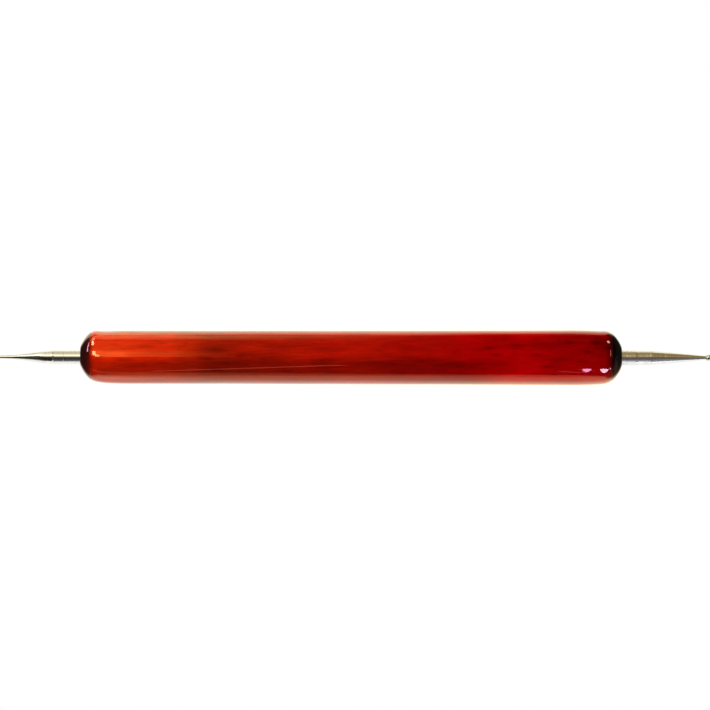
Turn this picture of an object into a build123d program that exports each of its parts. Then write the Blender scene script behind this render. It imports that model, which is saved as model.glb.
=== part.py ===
from build123d import *
import math
import os

os.makedirs("parts", exist_ok=True)

# Double-ended embossing stylus. Millimetres.
# The tool's own axis is the X axis: the fine tip points along -X and the broad tip along +X.
# X = 0 is halfway between the two balls' outermost points, in the middle of the parallel grip.

# ---- handle: one turned stick, rounded over at both ends -------------------------
HANDLE_LENGTH = 113.0          # over the enamel of both domes
LAND_DIAMETER = 11.15          # parallel land in the middle of the grip
LAND_LENGTH = 40.0
FINE_END_DIAMETER = 10.95      # where the fine end starts to round over
BROAD_END_DIAMETER = 11.40     # where the broad end starts to round over
NOSE_LENGTH = 10.0             # how far from its end each nose starts to round over
NOSE_POWER = 5.0               # r = R sqrt(1 - (1 - d / NOSE_LENGTH) ** NOSE_POWER)

# ---- black enamel on the domes ---------------------------------------------------
COAT = 0.12                    # thickness
COAT_REACH = 2.25              # how far from the wood's apex the coat ends
COAT_EDGE = 0.16               # length over which its edge rounds down to the wood
MENISCUS = 0.32                # height that the enamel climbs up the rod

# ---- rods ------------------------------------------------------------------------
SHANK_DIAMETER = 3.00          # both rods are turned from the same stock
FINE_SHANK_LENGTH = 5.7        # from the handle's end to the start of the taper
BROAD_SHANK_LENGTH = 6.0
FINE_NECK_DIAMETER = 0.70
BROAD_NECK_DIAMETER = 0.84
NECK_LENGTH = 0.35             # short parallel neck behind each ball, part of the taper's length

# each taper's outline after the shank: (distance from the shank's end, radius)
FINE_TAPER_LENGTH = 11.7       # full at first, then sweeps in to a slim neck
FINE_TAPER = ((2.5, 1.270), (5.6, 0.790), (8.7, 0.450))
BROAD_TAPER_LENGTH = 11.6      # nearly a straight cone, slightly bellied
BROAD_TAPER = ((2.0, 1.300), (4.1, 1.120), (6.2, 0.930), (8.3, 0.735))

# ---- balls and braze -------------------------------------------------------------
FINE_BALL_DIAMETER = 1.20
BROAD_BALL_DIAMETER = 1.40
BRAZE_LEG = 0.20               # how far the fillet runs along the neck and round the ball

# ---- tangs, bores and adhesive: the same drill and the same tang at both ends --------
TANG_DIAMETER = 2.40
TANG_LENGTH = 17.0             # measured inwards from the handle's end
TANG_CHAMFER = 0.30
SHOULDER_END = 0.30            # the cone from tang to shank ends this far outside the handle's end
BORE_DIAMETER = 2.52           # leaves 0.06 mm for the adhesive all round
BORE_DEPTH = 17.6              # cylindrical depth, measured inwards from the handle's end
DRILL_POINT_ANGLE = 118.0
GROOVE_DEPTH = 0.18            # keying grooves turned into each tang
GROOVE_WIDTH = 0.50
GROOVES_AT = (4.5, 7.5, 10.5, 13.5)


# ---- derived ---------------------------------------------------------------------
def seat(ball_diameter, neck_diameter):
    """From the rim of the neck's cup to the ball's centre."""
    return math.sqrt((ball_diameter / 2) ** 2 - (neck_diameter / 2) ** 2)


FINE_BALL_AT = (FINE_SHANK_LENGTH + FINE_TAPER_LENGTH
                + seat(FINE_BALL_DIAMETER, FINE_NECK_DIAMETER))
BROAD_BALL_AT = (BROAD_SHANK_LENGTH + BROAD_TAPER_LENGTH
                 + seat(BROAD_BALL_DIAMETER, BROAD_NECK_DIAMETER))
FINE_REACH = FINE_BALL_AT + FINE_BALL_DIAMETER / 2
BROAD_REACH = BROAD_BALL_AT + BROAD_BALL_DIAMETER / 2
OVERALL_LENGTH = HANDLE_LENGTH + FINE_REACH + BROAD_REACH
SHIFT = (FINE_REACH - BROAD_REACH) / 2     # centres the whole tool on X = 0

FINE = -1                      # the fine end points along -X
BROAD = 1

# every profile is drawn as (x, distance from the tool's axis) on this plane
PROFILE = Plane(origin=(0, 0, 0), x_dir=(1, 0, 0), z_dir=(0, -1, 0))


def out(side, distance):
    """X of a point this far outwards from one end of the handle (inwards if negative)."""
    return SHIFT + side * (HANDLE_LENGTH / 2 + distance)


def nose_radius(depth, full_diameter):
    """Radius of the bare wood this far inwards from its apex."""
    t = max(0.0, 1 - depth / NOSE_LENGTH)
    return full_diameter / 2 * math.sqrt(max(0.0, 1 - t ** NOSE_POWER))


def nose_slope(depth, full_diameter):
    """How fast nose_radius grows with depth."""
    step = 1e-4
    return (nose_radius(depth + step, full_diameter) - nose_radius(depth - step, full_diameter)) / (2 * step)


def nose_depth(radius, full_diameter):
    """Inverse of nose_radius."""
    return NOSE_LENGTH * (1 - (1 - (2 * radius / full_diameter) ** 2) ** (1 / NOSE_POWER))


def nose_points(side, full_diameter, lift, depths):
    """Points of the nose's outline, from its apex inwards, lifted off the wood along its normal."""
    points = []
    for d in depths:
        slope = nose_slope(d, full_diameter)
        n = math.hypot(1, slope)
        points.append((out(side, -COAT - d + lift * slope / n), nose_radius(d, full_diameter) + lift / n))
    return points


NOSE_STEPS = (0.22, 0.42, 0.70, 1.05, 1.50, 2.05, 2.75, 3.6, 4.7, 6.2, 8.0)
COAT_STEPS = (0.30, 0.50, 0.78, 1.12, 1.55, COAT_REACH - COAT_EDGE)


def tang_points(side, mouth):
    """Outline of the tang from its inner end, and of the conical shoulder up to the shank."""
    radius = TANG_DIAMETER / 2
    points = [(out(side, -TANG_LENGTH), 0), (out(side, -TANG_LENGTH), radius - TANG_CHAMFER),
              (out(side, -TANG_LENGTH + TANG_CHAMFER), radius)]
    for at in sorted(GROOVES_AT, reverse=True):
        points += [(out(side, -at - GROOVE_WIDTH / 2), radius), (out(side, -at), radius - GROOVE_DEPTH),
                   (out(side, -at + GROOVE_WIDTH / 2), radius)]
    return points + [(out(side, mouth), radius), (out(side, SHOULDER_END), SHANK_DIAMETER / 2)]


def cup(side, ball_at, ball_diameter, neck_diameter):
    """Middle and bottom of the hollow that the ball sits in, on the end of the neck."""
    R = ball_diameter / 2
    half = math.asin(neck_diameter / 2 / R) / 2
    return (out(side, ball_at - R * math.cos(half)), R * math.sin(half)), (out(side, ball_at - R), 0)


def bore_points(side, mouth):
    """Outline of a drilled bore with its drill point, closed along the axis."""
    radius = BORE_DIAMETER / 2
    point = radius / math.tan(math.radians(DRILL_POINT_ANGLE / 2))
    return [(out(side, -BORE_DEPTH - point), 0), (out(side, -BORE_DEPTH), radius),
            (out(side, mouth), radius), (out(side, mouth), 0)]


# where each bore breaks out through the wood of the nose
FINE_MOUTH_DEPTH = nose_depth(BORE_DIAMETER / 2, FINE_END_DIAMETER)
BROAD_MOUTH_DEPTH = nose_depth(BORE_DIAMETER / 2, BROAD_END_DIAMETER)
FINE_MOUTH = -COAT - FINE_MOUTH_DEPTH
BROAD_MOUTH = -COAT - BROAD_MOUTH_DEPTH

# ---- the turned handle -----------------------------------------------------------
with BuildPart() as handle:
    with BuildSketch(PROFILE):
        with BuildLine():
            fine_mouth = (out(FINE, FINE_MOUTH), BORE_DIAMETER / 2)
            fine_rise = (1.0, nose_slope(FINE_MOUTH_DEPTH, FINE_END_DIAMETER))
            fine_nose = nose_points(FINE, FINE_END_DIAMETER, 0, NOSE_STEPS)
            fine_full = (out(FINE, -COAT - NOSE_LENGTH), FINE_END_DIAMETER / 2)
            broad_mouth = (out(BROAD, BROAD_MOUTH), BORE_DIAMETER / 2)
            broad_fall = (1.0, -nose_slope(BROAD_MOUTH_DEPTH, BROAD_END_DIAMETER))
            broad_nose = nose_points(BROAD, BROAD_END_DIAMETER, 0, NOSE_STEPS)
            broad_full = (out(BROAD, -COAT - NOSE_LENGTH), BROAD_END_DIAMETER / 2)
            land_fine = (-LAND_LENGTH / 2, LAND_DIAMETER / 2)
            land_broad = (LAND_LENGTH / 2, LAND_DIAMETER / 2)
            Line((fine_mouth[0], 0), fine_mouth)
            Spline([fine_mouth] + fine_nose + [fine_full], tangents=[fine_rise, (1.0, 0.0)])
            Line(fine_full, land_fine)
            Line(land_fine, land_broad)
            Line(land_broad, broad_full)
            Spline([broad_full] + broad_nose[::-1] + [broad_mouth], tangents=[(1.0, 0.0), broad_fall])
            Line(broad_mouth, (broad_mouth[0], 0))
            Line((broad_mouth[0], 0), (fine_mouth[0], 0))
        make_face()
    revolve(axis=Axis.X)
    with BuildSketch(PROFILE):
        with BuildLine():
            Polyline(bore_points(FINE, 0.5), close=True)
        make_face()
    revolve(axis=Axis.X, mode=Mode.SUBTRACT)
    with BuildSketch(PROFILE):
        with BuildLine():
            Polyline(bore_points(BROAD, 0.5), close=True)
        make_face()
    revolve(axis=Axis.X, mode=Mode.SUBTRACT)
handle.part.label = "handle"

# ---- the balls -------------------------------------------------------------------
with BuildPart() as fine_ball:
    with Locations((out(FINE, FINE_BALL_AT), 0, 0)):
        Sphere(FINE_BALL_DIAMETER / 2)
fine_ball.part.label = "fine_ball"

with BuildPart() as broad_ball:
    with Locations((out(BROAD, BROAD_BALL_AT), 0, 0)):
        Sphere(BROAD_BALL_DIAMETER / 2)
broad_ball.part.label = "broad_ball"

# ---- the rods: tang, shoulder, shank, taper, neck, and a cup that the ball sits in ----
with BuildPart() as fine_rod:
    with BuildSketch(PROFILE):
        with BuildLine():
            shank_end = (out(FINE, FINE_SHANK_LENGTH), SHANK_DIAMETER / 2)
            rim = (out(FINE, FINE_SHANK_LENGTH + FINE_TAPER_LENGTH), FINE_NECK_DIAMETER / 2)
            neck = (rim[0] - FINE * NECK_LENGTH, rim[1])
            flank = [(out(FINE, FINE_SHANK_LENGTH + d), r) for d, r in FINE_TAPER]
            tang = tang_points(FINE, FINE_MOUTH)
            cup_middle, cup_bottom = cup(FINE, FINE_BALL_AT, FINE_BALL_DIAMETER, FINE_NECK_DIAMETER)
            Polyline(tang + [shank_end])
            Spline([shank_end] + flank + [neck], tangents=[(FINE, -0.05), (FINE, 0.0)])
            Line(neck, rim)
            ThreePointArc(rim, cup_middle, cup_bottom)
            Line(cup_bottom, tang[0])
        make_face()
    revolve(axis=Axis.X)
fine_rod.part.label = "fine_rod"

with BuildPart() as broad_rod:
    with BuildSketch(PROFILE):
        with BuildLine():
            shank_end = (out(BROAD, BROAD_SHANK_LENGTH), SHANK_DIAMETER / 2)
            rim = (out(BROAD, BROAD_SHANK_LENGTH + BROAD_TAPER_LENGTH), BROAD_NECK_DIAMETER / 2)
            neck = (rim[0] - BROAD * NECK_LENGTH, rim[1])
            flank = [(out(BROAD, BROAD_SHANK_LENGTH + d), r) for d, r in BROAD_TAPER]
            tang = tang_points(BROAD, BROAD_MOUTH)
            cup_middle, cup_bottom = cup(BROAD, BROAD_BALL_AT, BROAD_BALL_DIAMETER, BROAD_NECK_DIAMETER)
            Polyline(tang + [shank_end])
            Spline([shank_end] + flank + [neck], tangents=[(BROAD, -0.11), (BROAD, -0.07)])
            Line(neck, rim)
            ThreePointArc(rim, cup_middle, cup_bottom)
            Line(cup_bottom, tang[0])
        make_face()
    revolve(axis=Axis.X)
broad_rod.part.label = "broad_rod"


# ---- braze: a small fillet in the corner between neck and ball ----------------------
def braze_corners(side, ball_at, ball_diameter, taper_end, neck_diameter):
    """The ring's outline: on the neck, on the ball, the ball's flank, and the corner between them."""
    R = ball_diameter / 2
    start = math.asin(neck_diameter / 2 / R)
    stop = start + BRAZE_LEG * 1.35 / R
    half = (start + stop) / 2
    on_neck = (taper_end - BRAZE_LEG, neck_diameter / 2)
    on_ball = (ball_at - R * math.cos(stop), R * math.sin(stop))
    flank = (ball_at - R * math.cos(half), R * math.sin(half))
    corner = (taper_end, neck_diameter / 2)
    return [(out(side, x), y) for x, y in (on_neck, on_ball, flank, corner)]


with BuildPart() as fine_braze:
    with BuildSketch(PROFILE):
        with BuildLine():
            on_neck, on_ball, flank, corner = braze_corners(
                FINE, FINE_BALL_AT, FINE_BALL_DIAMETER, FINE_SHANK_LENGTH + FINE_TAPER_LENGTH,
                FINE_NECK_DIAMETER)
            Line(on_neck, on_ball)
            ThreePointArc(on_ball, flank, corner)
            Line(corner, on_neck)
        make_face()
    revolve(axis=Axis.X)
fine_braze.part.label = "fine_braze"

with BuildPart() as broad_braze:
    with BuildSketch(PROFILE):
        with BuildLine():
            on_neck, on_ball, flank, corner = braze_corners(
                BROAD, BROAD_BALL_AT, BROAD_BALL_DIAMETER, BROAD_SHANK_LENGTH + BROAD_TAPER_LENGTH,
                BROAD_NECK_DIAMETER)
            Line(on_neck, on_ball)
            ThreePointArc(on_ball, flank, corner)
            Line(corner, on_neck)
        make_face()
    revolve(axis=Axis.X)
broad_braze.part.label = "broad_braze"

# ---- adhesive: fills each bore round the tang, up to the mouth ----------------------
with BuildPart() as fine_glue:
    with BuildSketch(PROFILE):
        with BuildLine():
            Polyline(bore_points(FINE, FINE_MOUTH), close=True)
        make_face()
    revolve(axis=Axis.X)
    add(fine_rod.part, mode=Mode.SUBTRACT)
fine_glue.part.label = "fine_glue"

with BuildPart() as broad_glue:
    with BuildSketch(PROFILE):
        with BuildLine():
            Polyline(bore_points(BROAD, BROAD_MOUTH), close=True)
        make_face()
    revolve(axis=Axis.X)
    add(broad_rod.part, mode=Mode.SUBTRACT)
broad_glue.part.label = "broad_glue"


# ---- enamel: a thin dipped coat over each dome, with a meniscus round the rod --------
def coat_root(side):
    """The meniscus: from high on the rod down to the coat's flank."""
    top = (out(side, MENISCUS), SHANK_DIAMETER / 2)
    bend = (out(side, MENISCUS * 0.30), SHANK_DIAMETER / 2 + MENISCUS * 0.30)
    foot = (out(side, -0.005), SHANK_DIAMETER / 2 + MENISCUS * 0.95)
    return top, bend, foot


with BuildPart() as fine_end_paint:
    with BuildSketch(PROFILE):
        with BuildLine():
            top, bend, foot = coat_root(FINE)
            flank = nose_points(FINE, FINE_END_DIAMETER, COAT, COAT_STEPS)
            rim = nose_points(FINE, FINE_END_DIAMETER, COAT * 0.62, (COAT_REACH - COAT_EDGE * 0.30,))[0]
            edge = nose_points(FINE, FINE_END_DIAMETER, 0, (COAT_REACH,))[0]
            Line((top[0], 0), top)
            Spline([top, bend, foot] + flank)
            ThreePointArc(flank[-1], rim, edge)
            Polyline([edge, (edge[0], 0), (top[0], 0)])
        make_face()
    revolve(axis=Axis.X)
    add(handle.part, mode=Mode.SUBTRACT)
    add(fine_rod.part, mode=Mode.SUBTRACT)
    add(fine_glue.part, mode=Mode.SUBTRACT)
fine_end_paint.part.label = "fine_end_paint"

with BuildPart() as broad_end_paint:
    with BuildSketch(PROFILE):
        with BuildLine():
            top, bend, foot = coat_root(BROAD)
            flank = nose_points(BROAD, BROAD_END_DIAMETER, COAT, COAT_STEPS)
            rim = nose_points(BROAD, BROAD_END_DIAMETER, COAT * 0.62, (COAT_REACH - COAT_EDGE * 0.30,))[0]
            edge = nose_points(BROAD, BROAD_END_DIAMETER, 0, (COAT_REACH,))[0]
            Line((top[0], 0), top)
            Spline([top, bend, foot] + flank)
            ThreePointArc(flank[-1], rim, edge)
            Polyline([edge, (edge[0], 0), (top[0], 0)])
        make_face()
    revolve(axis=Axis.X)
    add(handle.part, mode=Mode.SUBTRACT)
    add(broad_rod.part, mode=Mode.SUBTRACT)
    add(broad_glue.part, mode=Mode.SUBTRACT)
broad_end_paint.part.label = "broad_end_paint"

export_step(handle.part, "parts/handle.step")
export_step(fine_end_paint.part, "parts/fine_end_paint.step")
export_step(broad_end_paint.part, "parts/broad_end_paint.step")
export_step(fine_rod.part, "parts/fine_rod.step")
export_step(broad_rod.part, "parts/broad_rod.step")
export_step(fine_ball.part, "parts/fine_ball.step")
export_step(broad_ball.part, "parts/broad_ball.step")
export_step(fine_braze.part, "parts/fine_braze.step")
export_step(broad_braze.part, "parts/broad_braze.step")
export_step(fine_glue.part, "parts/fine_glue.step")
export_step(broad_glue.part, "parts/broad_glue.step")

print("overall length", round(OVERALL_LENGTH, 3), "shift", round(SHIFT, 4))
print("fine shank from", round(out(FINE, SHOULDER_END), 3), "to", round(out(FINE, FINE_SHANK_LENGTH), 3))
print("broad shank from", round(out(BROAD, SHOULDER_END), 3), "to", round(out(BROAD, BROAD_SHANK_LENGTH), 3))
print("bore mouths", round(FINE_MOUTH, 4), round(BROAD_MOUTH, 4))
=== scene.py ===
import math

import bmesh
import bpy
from mathutils import Matrix, Vector


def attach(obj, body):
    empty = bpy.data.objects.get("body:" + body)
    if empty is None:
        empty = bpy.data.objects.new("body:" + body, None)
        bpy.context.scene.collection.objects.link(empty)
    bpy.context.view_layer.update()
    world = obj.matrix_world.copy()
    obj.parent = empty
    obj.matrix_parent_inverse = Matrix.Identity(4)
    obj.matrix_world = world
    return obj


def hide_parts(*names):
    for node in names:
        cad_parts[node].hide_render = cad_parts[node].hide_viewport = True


# Double-ended embossing stylus lying along X: fine tip at -X, broad tip at +X.
# Lengths below are in millimetres unless a name ends in _m.
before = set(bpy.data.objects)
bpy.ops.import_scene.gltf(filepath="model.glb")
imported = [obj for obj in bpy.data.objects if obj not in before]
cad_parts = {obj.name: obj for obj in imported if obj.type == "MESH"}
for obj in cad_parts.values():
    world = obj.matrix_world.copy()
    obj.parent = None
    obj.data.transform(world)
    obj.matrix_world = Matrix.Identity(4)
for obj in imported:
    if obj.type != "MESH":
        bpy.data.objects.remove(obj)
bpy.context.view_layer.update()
scene = bpy.context.scene
MM = 0.001

# ---------------------------------------------------------------- the view
ELEVATION = math.radians(76.0)
ROLL = math.radians(0.0745)
V = Vector((0, -math.cos(ELEVATION), math.sin(ELEVATION)))      # towards the camera
U = Vector((0, math.sin(ELEVATION), math.cos(ELEVATION)))       # up in the picture
RIGHT = Vector((1, 0, 0)) * math.cos(ROLL) + U * math.sin(ROLL)
UP = Vector((1, 0, 0)) * -math.sin(ROLL) + U * math.cos(ROLL)
DISTANCE = 1200.0
PIXEL = 0.2085                                                   # mm per pixel at the object
MIDDLE = -0.1863                                                 # X of the handle's middle

cam_data = bpy.data.cameras.new("camera")
cam_data.sensor_fit = "HORIZONTAL"
cam_data.sensor_width = 36.0
cam_data.lens = 36.0 * DISTANCE / (710 * PIXEL)
cam_data.clip_start = 0.05
cam_data.clip_end = 60.0
cam = bpy.data.objects.new("camera", cam_data)
scene.collection.objects.link(cam)
aim = Vector((MIDDLE, 0, 0)) + RIGHT * 0.803 + UP * 0.500
turn = Matrix((RIGHT, UP, V)).transposed().to_4x4()
turn.translation = (aim + V * DISTANCE) * MM
cam.matrix_world = turn
scene.camera = cam


def spot(px, py, lift=0.0):
    """The point of the tool's near side that the picture shows at this pixel, in mm."""
    x = MIDDLE + (px - 350.65) * PIXEL
    h = (357.0 + 0.0013 * (px - 350) - py) * PIXEL
    r = max(outline(x), abs(h) + 0.001) + lift
    return Vector((x, 0, 0)) + U * h + V * math.sqrt(max(r * r - h * h, 0.0))


# ---------------------------------------------------------------- outlines
HALF = 56.5                                                      # half the handle's length
BODY = ((-45.8, 5.570), (-20.0, 5.655), (0.0, 5.695), (20.0, 5.730), (45.6, 5.825))


def hermite(points, x):
    """Monotone cubic through a short list of (x, y)."""
    if x <= points[0][0]:
        return points[0][1]
    if x >= points[-1][0]:
        return points[-1][1]
    n = len(points)
    d = [(points[i + 1][1] - points[i][1]) / (points[i + 1][0] - points[i][0]) for i in range(n - 1)]
    m = [0.0 if i in (0, n - 1) else (0.0 if d[i - 1] * d[i] <= 0 else 2 * d[i - 1] * d[i] / (d[i - 1] + d[i]))
         for i in range(n)]
    if n > 2:
        m[0], m[-1] = d[0], d[-1]
    for i in range(n - 1):
        if x <= points[i + 1][0]:
            w = points[i + 1][0] - points[i][0]
            t = (x - points[i][0]) / w
            return ((2 * t ** 3 - 3 * t ** 2 + 1) * points[i][1] + (t ** 3 - 2 * t ** 2 + t) * w * m[i]
                    + (-2 * t ** 3 + 3 * t ** 2) * points[i + 1][1] + (t ** 3 - t ** 2) * w * m[i + 1])
    return points[-1][1]


def smooth(a, b, x):
    t = min(1.0, max(0.0, (x - a) / (b - a)))
    return t * t * (3 - 2 * t)


NOSES = {-1: dict(length=4.317, power=2.3, root=1.468, start=0.571, shoulder=0.449),
         1: dict(length=4.146, power=2.0, root=2.047, start=0.363, shoulder=0.482)}


def nose(side, d):
    """(share of the body's radius, mm taken off it) this far inwards from the handle's end."""
    n = NOSES[side]
    t = min(1.0, max(0.0, 1 - (d + n["start"]) / n["length"]))
    return (1 - t ** n["power"]) ** (1 / n["root"]), n["shoulder"] * max(0.0, 1 - d / 11.0) ** 2


def outline(x):
    """Radius of the finished surface of the handle, coat included."""
    side = -1 if x < MIDDLE else 1
    share, off = nose(side, HALF - abs(x - MIDDLE))
    return max(0.4, hermite(BODY, x) * share - off)


COAT_EDGE_AT = {-1: 2.30, 1: 2.25}                               # where the enamel ends, from the end


def wood(side, d):
    """Radius of the bare wood, which lies a coat's thickness below the outline on the dome."""
    e = COAT_EDGE_AT[side]
    back = 0.12 * (1 - smooth(e - 1.2, e + 0.5, d))
    return outline(MIDDLE + side * (HALF - (d - back)))


def coat(side, d):
    """Radius of the enamel's outer face."""
    e = COAT_EDGE_AT[side]
    proud = 0.035 * smooth(0.6, e - 0.3, d)
    roll = max(0.0, (d - (e - 0.14)) / 0.14)
    r = outline(MIDDLE + side * (HALF - d)) + proud
    w = wood(side, d)
    return w + (r - w) * math.sqrt(max(0.0, 1 - roll * roll)) - 0.01 * (roll >= 1)


def drift(side, d, r):
    """How far the turned dome's centre wanders off the axis, in the U direction."""
    most = 0.26 if side < 0 else 0.115
    reach = (2.2, 5.8) if side < 0 else (2.4, 5.0)
    return most * (1 - smooth(reach[0], reach[1], d)) * min(1.0, max(0.0, (r - 1.5) / 0.7))


# ---------------------------------------------------------------- mesh helpers
def turned(name, stations, segments=192, closed=False, wobble=None, rough=40.0):
    """A closed solid of revolution about X. stations: (x, r, offset along U) in mm.
    The first and last stations lie on the axis, unless closed, which joins them into a ring."""
    bm = bmesh.new()
    rings = []
    for k, (x, r, off) in enumerate(stations):
        centre = Vector((x, 0, 0)) + U * off
        if r < 1e-6 and not closed:
            rings.append([bm.verts.new(centre * MM)])
            continue
        ring = []
        for i in range(segments):
            a = 2 * math.pi * i / segments
            rr = r + (wobble(x, a) if wobble else 0.0)
            ring.append(bm.verts.new((centre + Vector((0, math.cos(a), math.sin(a))) * rr) * MM))
        rings.append(ring)
    pairs = list(zip(rings, rings[1:])) + ([(rings[-1], rings[0])] if closed else [])
    for a, b in pairs:
        if len(a) == 1 and len(b) == 1:
            continue
        for i in range(segments):
            j = (i + 1) % segments
            if len(a) == 1:
                bm.faces.new((a[0], b[j], b[i]))
            elif len(b) == 1:
                bm.faces.new((a[i], a[j], b[0]))
            else:
                bm.faces.new((a[i], a[j], b[j], b[i]))
    bmesh.ops.recalc_face_normals(bm, faces=bm.faces)
    mesh = bpy.data.meshes.new(name)
    bm.to_mesh(mesh)
    bm.free()
    mesh.polygons.foreach_set("use_smooth", [True] * len(mesh.polygons))
    mesh.set_sharp_from_angle(angle=math.radians(rough))
    obj = bpy.data.objects.new(name, mesh)
    scene.collection.objects.link(obj)
    return obj


def spread(a, b, n, ease=1.0):
    return [a + (b - a) * (i / n) ** ease for i in range(n + 1)]


def end_x(side, d):
    """X this far inwards from one end of the handle."""
    return MIDDLE + side * (HALF - d)


# ---------------------------------------------------------------- materials
class Nodes:
    """Short helpers to write a node tree."""

    def __init__(self, name):
        self.mat = bpy.data.materials.new(name)
        self.mat.use_nodes = True
        self.tree = self.mat.node_tree
        self.bsdf = self.tree.nodes["Principled BSDF"]
        self.where = self.add("ShaderNodeTexCoord").outputs["Object"]

    def add(self, kind, **props):
        n = self.tree.nodes.new(kind)
        for k, v in props.items():
            setattr(n, k, v)
        return n

    def link(self, a, b):
        self.tree.links.new(a, b)

    def place(self, scale, at=(0, 0, 0)):
        """Object coordinates in units of scale, in mm, about a point in mm."""
        n = self.add("ShaderNodeMapping", vector_type="POINT")
        s = [1000.0 / v for v in scale]
        n.inputs["Scale"].default_value = s
        n.inputs["Location"].default_value = [-p * MM * q for p, q in zip(at, s)]
        self.link(self.where, n.inputs["Vector"])
        return n.outputs["Vector"]

    def noise(self, vector, scale=1.0, detail=3.0, rough=0.5, distort=0.0):
        n = self.add("ShaderNodeTexNoise", noise_dimensions="3D")
        n.inputs["Scale"].default_value = scale
        n.inputs["Detail"].default_value = detail
        n.inputs["Roughness"].default_value = rough
        n.inputs["Distortion"].default_value = distort
        self.link(vector, n.inputs["Vector"])
        return n.outputs["Fac"]

    def math(self, op, a, b=0.0, c=None):
        n = self.add("ShaderNodeMath", operation=op)
        for i, v in enumerate((a, b) if c is None else (a, b, c)):
            if isinstance(v, (int, float)):
                n.inputs[i].default_value = v
            else:
                self.link(v, n.inputs[i])
        return n.outputs[0]

    def span(self, value, lo, hi, out_lo=0.0, out_hi=1.0, kind="SMOOTHSTEP"):
        n = self.add("ShaderNodeMapRange", interpolation_type=kind)
        for k, v in (("From Min", lo), ("From Max", hi), ("To Min", out_lo), ("To Max", out_hi)):
            n.inputs[k].default_value = v
        self.link(value, n.inputs["Value"])
        return n.outputs["Result"]

    def ramp(self, value, stops):
        n = self.add("ShaderNodeValToRGB")
        n.color_ramp.interpolation = "EASE"
        e = n.color_ramp.elements
        e.remove(e[1])
        e[0].position = stops[0][0]
        e[0].color = (*stops[0][1], 1)
        for p, c in stops[1:]:
            e.new(p).color = (*c, 1)
        self.link(value, n.inputs["Fac"])
        return n.outputs["Color"]

    def mix(self, fac, a, b, mode="MIX"):
        n = self.add("ShaderNodeMix", data_type="RGBA", blend_type=mode)
        for key, v in ((0, fac), (6, a), (7, b)):
            if isinstance(v, (int, float)):
                n.inputs[key].default_value = v
            elif isinstance(v, tuple):
                n.inputs[key].default_value = (*v, 1)
            else:
                self.link(v, n.inputs[key])
        return n.outputs[2]

    def blob(self, at, size, soft=0.0):
        """1 in an ellipsoid about a point in mm, falling to 0 at its rim."""
        n = self.add("ShaderNodeVectorMath", operation="LENGTH")
        self.link(self.place(size, at), n.inputs[0])
        return self.span(n.outputs["Value"], soft, 1.0, 1.0, 0.0)

    def set(self, **values):
        for k, v in values.items():
            sock = self.bsdf.inputs[k.replace("_", " ")]
            sock.default_value = (*v, 1) if isinstance(v, tuple) else v


class LightNodes(Nodes):
    """The same for a light, whose colour varies over its face."""

    def __init__(self, data):
        data.use_nodes = True
        self.tree = data.node_tree
        self.where = self.add("ShaderNodeNewGeometry").outputs["Position"]


# ---- stained and lacquered wood
w = Nodes("stained_wood")
xyz = w.add("ShaderNodeSeparateXYZ")
w.link(w.place((1, 1, 1)), xyz.inputs[0])
along = xyz.outputs["X"]
base = w.ramp(w.span(along, -57.0, 57.0, kind="LINEAR"), [
    (0.00, (0.76, 0.0200, 0.0012)),
    (0.05, (0.80, 0.0200, 0.0015)),
    (0.10, (0.74, 0.0160, 0.0012)),
    (0.16, (0.70, 0.0160, 0.0012)),
    (0.20, (0.50, 0.0140, 0.0012)),
    (0.24, (0.37, 0.0100, 0.0012)),
    (0.30, (0.385, 0.0090, 0.0012)),
    (0.50, (0.480, 0.0070, 0.0012)),
    (0.64, (0.415, 0.0030, 0.0010)),
    (0.735, (0.415, 0.0004, 0.0006)),
    (0.81, (0.43, 0.0002, 0.0006)),
    (0.88, (0.345, 0.0002, 0.0006)),
    (0.93, (0.310, 0.0002, 0.0006)),
    (1.00, (0.26, 0.0002, 0.0006)),
])
clouds = w.span(w.noise(w.place((7.0, 1.5, 1.5)), detail=4, rough=0.55, distort=0.3), 0.25, 0.75, 0.70, 1.22, "LINEAR")
fibres = w.span(w.noise(w.place((5.0, 0.30, 0.30)), detail=5, rough=0.66), 0.28, 0.72, 0.78, 1.20, "LINEAR")
fibres = w.math("MULTIPLY_ADD", w.math("SUBTRACT", fibres, 1.0), w.span(along, 5.0, 32.0, 1.0, 0.55), 1.0)
grain_and_painted_shade = w.math("MULTIPLY", clouds, fibres)
# pores: short dark dashes along the grain, denser in the dark end
pores = w.noise(w.place((2.2, 0.17, 0.17)), detail=2, rough=0.5)
pores = w.span(pores, 0.60, 0.72, 1.0, 0.66)
grain_and_painted_shade = w.math("MULTIPLY", grain_and_painted_shade, pores)
# painted shade: the wood colour darkened by up to half along the lower front of the fine half, where the light falls
# off
across = w.add("ShaderNodeVectorMath", operation="DOT_PRODUCT")
w.link(w.place((1, 1, 1)), across.inputs[0])
across.inputs[1].default_value = tuple(U)
sway = w.math("MULTIPLY_ADD", w.noise(w.place((14.0, 3.0, 3.0)), detail=2), 1.6, -0.8)
painted_lower_shade = w.span(w.math("ADD", across.outputs["Value"], sway), 0.9, -1.5)
painted_lower_shade = w.math("MULTIPLY", painted_lower_shade, w.span(along, 36.0, 22.0))
grain_and_painted_shade = w.math("MULTIPLY", grain_and_painted_shade, w.math("MULTIPLY_ADD", painted_lower_shade, -0.50, 1.0))
# end grain under and beside the enamel drank more stain
grain_and_painted_shade = w.math("MULTIPLY", grain_and_painted_shade, w.span(along, end_x(-1, 2.0), end_x(-1, 3.3), 0.45, 1.0))
grain_and_painted_shade = w.math("MULTIPLY", grain_and_painted_shade, w.span(along, end_x(1, 1.9), end_x(1, 3.9), 0.30, 1.0))
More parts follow.
